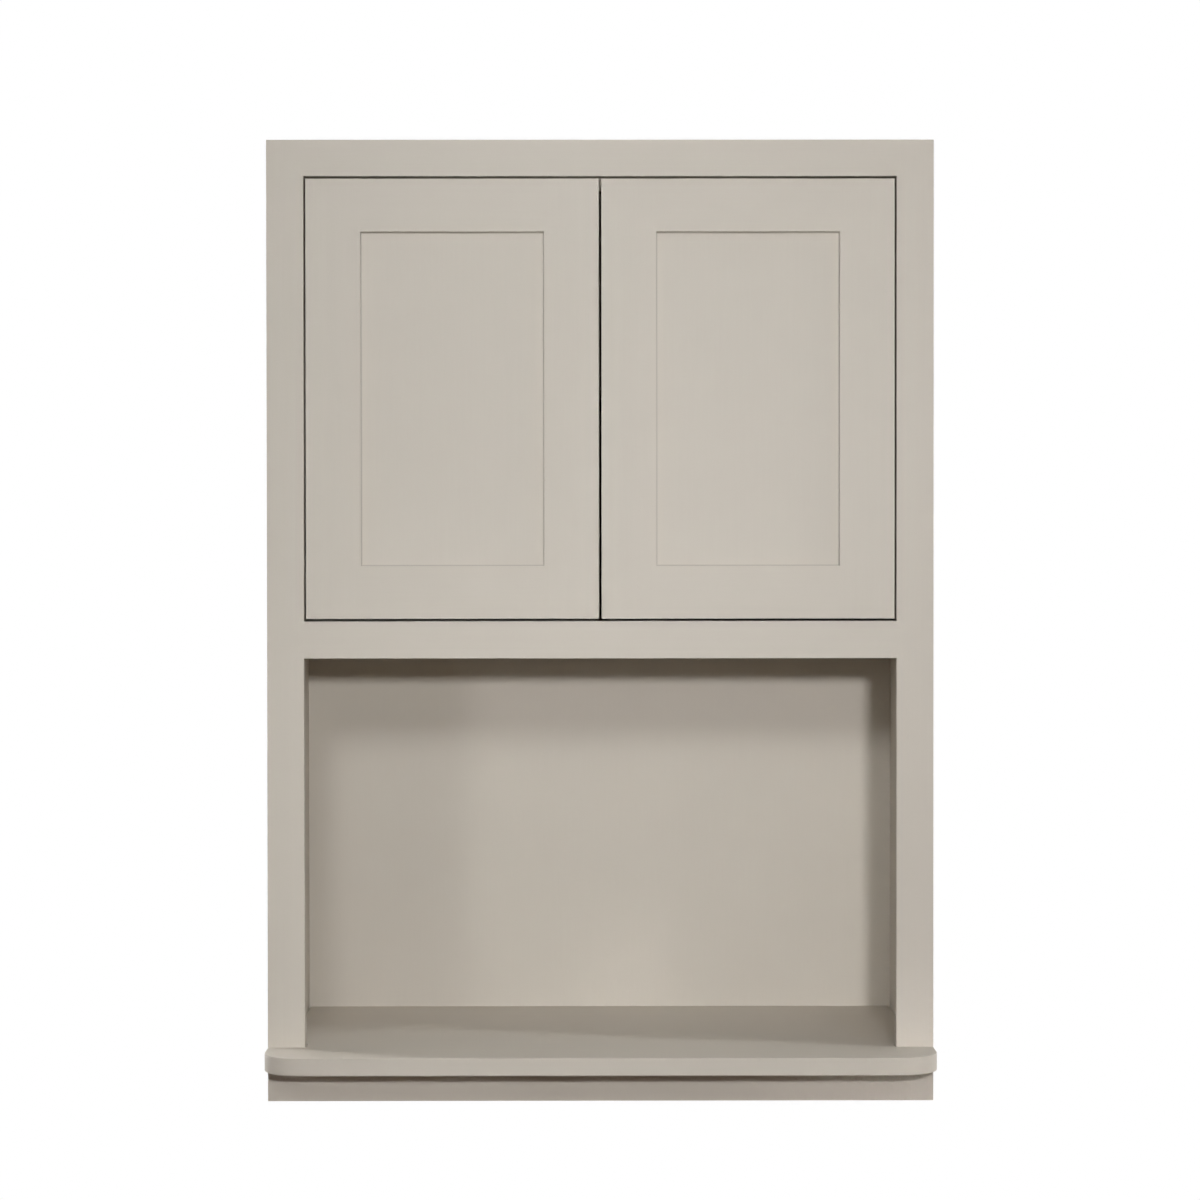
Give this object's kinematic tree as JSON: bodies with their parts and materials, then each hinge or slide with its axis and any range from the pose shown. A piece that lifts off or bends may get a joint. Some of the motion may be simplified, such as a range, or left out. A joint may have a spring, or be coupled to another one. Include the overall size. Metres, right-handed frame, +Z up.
{
  "type": "microwave wall cabinet",
  "caption": "Painted face-frame wall cabinet with flush inset shaker doors over an open microwave bay and a deeper shelf with rounded front corners.",
  "frame": {"origin": "centre of the upper hanging rail's back face, on the wall plane", "axes": "+X to the viewer's right, +Y into the wall, +Z up; the front faces -Y"},
  "size_m": [0.6858, 0.3738, 0.989],
  "materials": {
    "painted_wood": "satin",
    "plated_steel": "satin"
  },
  "bodies": {
    "cabinet": {"adjustable_shelf": "painted_wood", "back_panel": "painted_wood", "bottom_frame_rail": "painted_wood", "door_stop_strip": "painted_wood", "left_frame_stile": "painted_wood", "left_front_shelf_pin": "plated_steel", "left_lower_hinge_arm": "plated_steel", "left_lower_hinge_block": "painted_wood", "left_lower_hinge_plate": "plated_steel", "left_rear_shelf_pin": "plated_steel", "left_shelf_cleat": "painted_wood", "left_side_panel": "painted_wood", "left_upper_hinge_arm": "plated_steel", "left_upper_hinge_block": "painted_wood", "left_upper_hinge_plate": "plated_steel", "lower_hanging_rail": "painted_wood", "microwave_shelf": "painted_wood", "mid_deck": "painted_wood", "middle_frame_rail": "painted_wood", "right_frame_stile": "painted_wood", "right_front_shelf_pin": "plated_steel", "right_lower_hinge_arm": "plated_steel", "right_lower_hinge_block": "painted_wood", "right_lower_hinge_plate": "plated_steel", "right_rear_shelf_pin": "plated_steel", "right_shelf_cleat": "painted_wood", "right_side_panel": "painted_wood", "right_upper_hinge_arm": "plated_steel", "right_upper_hinge_block": "painted_wood", "right_upper_hinge_plate": "plated_steel", "top_frame_rail": "painted_wood", "top_panel": "painted_wood", "upper_hanging_rail": "painted_wood"},
    "left_door": {"left_door_bottom_rail": "painted_wood", "left_door_hinge_stile": "painted_wood", "left_door_meeting_stile": "painted_wood", "left_door_panel": "painted_wood", "left_door_top_rail": "painted_wood", "left_lower_hinge_cup": "plated_steel", "left_lower_hinge_pin": "plated_steel", "left_upper_hinge_cup": "plated_steel", "left_upper_hinge_pin": "plated_steel"},
    "right_door": {"right_door_bottom_rail": "painted_wood", "right_door_hinge_stile": "painted_wood", "right_door_meeting_stile": "painted_wood", "right_door_panel": "painted_wood", "right_door_top_rail": "painted_wood", "right_lower_hinge_cup": "plated_steel", "right_lower_hinge_pin": "plated_steel", "right_upper_hinge_cup": "plated_steel", "right_upper_hinge_pin": "plated_steel"}
  },
  "joints": [
    {"name": "left_door_hinge", "type": "hinge", "parent": "cabinet", "child": "left_door", "pos_m": [-0.2768, -0.295, -0.20885], "axis": [0, 0, -1], "range_deg": [0, 100]},
    {"name": "right_door_hinge", "type": "hinge", "parent": "cabinet", "child": "right_door", "pos_m": [0.2768, -0.295, -0.20885], "axis": [0, 0, 1], "range_deg": [0, 100]}
  ]
}
